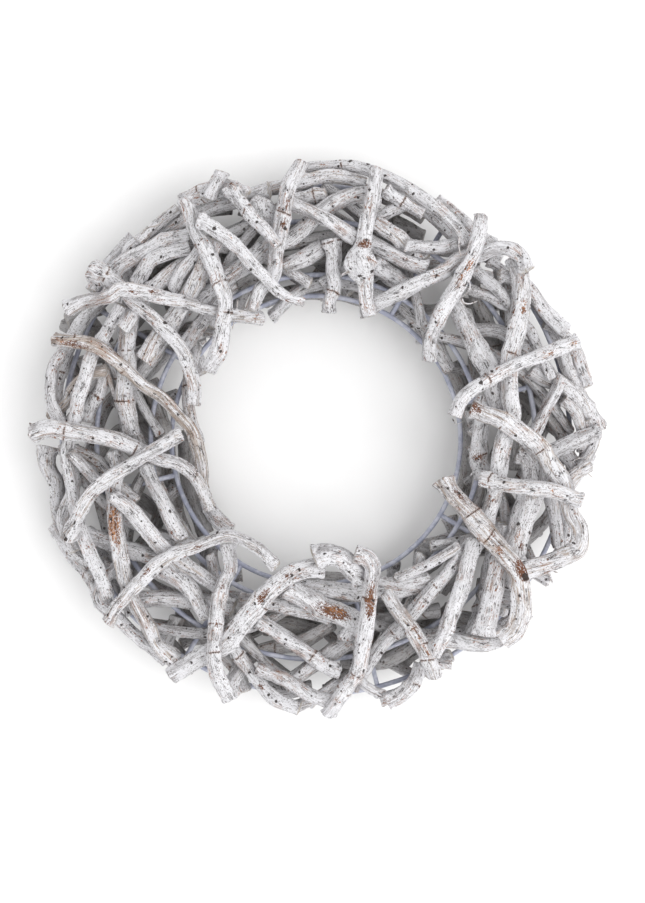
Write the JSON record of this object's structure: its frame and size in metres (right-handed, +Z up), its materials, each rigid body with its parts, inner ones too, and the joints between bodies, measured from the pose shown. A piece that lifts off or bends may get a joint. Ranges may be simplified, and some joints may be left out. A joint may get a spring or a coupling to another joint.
{
  "type": "wicker wreath",
  "caption": "Round wreath of whitewashed knotty vine and willow stems laid criss-cross over a painted wire frame, with an open hole.",
  "frame": {"origin": "on the ground plane, below the middle of the outline's box, within 5 mm of the axis of the wire rings", "axes": "+Z up through the hole, out of the front of the wreath; +Y to the top edge of the wreath as hung; +X to the right"},
  "size_m": [0.4028, 0.3924, 0.1058],
  "materials": {
    "bark": "whitewashed dry bark with brown worn patches",
    "shaded_bark": "whitewashed dry bark, greyer",
    "wire_paint": "blue-grey painted steel wire"
  },
  "bodies": {
    "root": {"wire_frame": "wire_paint", "front_bunch_1": "shaded_bark", "front_bunch_2": "shaded_bark", "front_bunch_3": "shaded_bark", "front_bunch_4": "shaded_bark", "front_bunch_5": "shaded_bark", "front_bunch_6": "shaded_bark", "front_bunch_7": "shaded_bark", "front_bunch_8": "shaded_bark", "front_stem_1": "bark", "front_stem_2": "bark", "front_stem_3": "bark", "front_stem_4": "bark", "front_stem_5": "bark", "front_stem_6": "bark", "front_stem_7": "bark", "front_stem_8": "bark", "front_stem_9": "bark", "front_stem_10": "bark", "front_stem_11": "bark", "front_stem_12": "bark", "front_stem_13": "bark", "front_stem_14": "bark", "front_stem_15": "bark", "front_stem_16": "bark", "front_stem_17": "bark", "front_stem_18": "bark", "front_stem_19": "bark", "front_stem_20": "bark", "front_stem_21": "bark", "front_stem_22": "bark", "front_stem_23": "bark", "front_stem_24": "bark", "front_stem_25": "bark", "front_stem_26": "bark", "front_stem_27": "bark", "front_stem_28": "bark", "front_stem_29": "bark", "front_stem_30": "bark", "front_stem_31": "bark", "front_stem_32": "bark", "front_stem_33": "bark", "front_stem_34": "bark", "front_stem_35": "bark", "back_bunch_1": "shaded_bark", "back_bunch_2": "shaded_bark", "back_bunch_3": "shaded_bark", "back_bunch_4": "shaded_bark", "back_bunch_5": "shaded_bark", "back_bunch_6": "shaded_bark", "back_bunch_7": "shaded_bark", "back_bunch_8": "shaded_bark", "back_stem_1": "bark", "back_stem_2": "bark", "back_stem_3": "bark", "back_stem_4": "bark", "back_stem_5": "bark", "back_stem_6": "bark", "back_stem_7": "bark", "back_stem_8": "bark"}
  },
  "joints": []
}
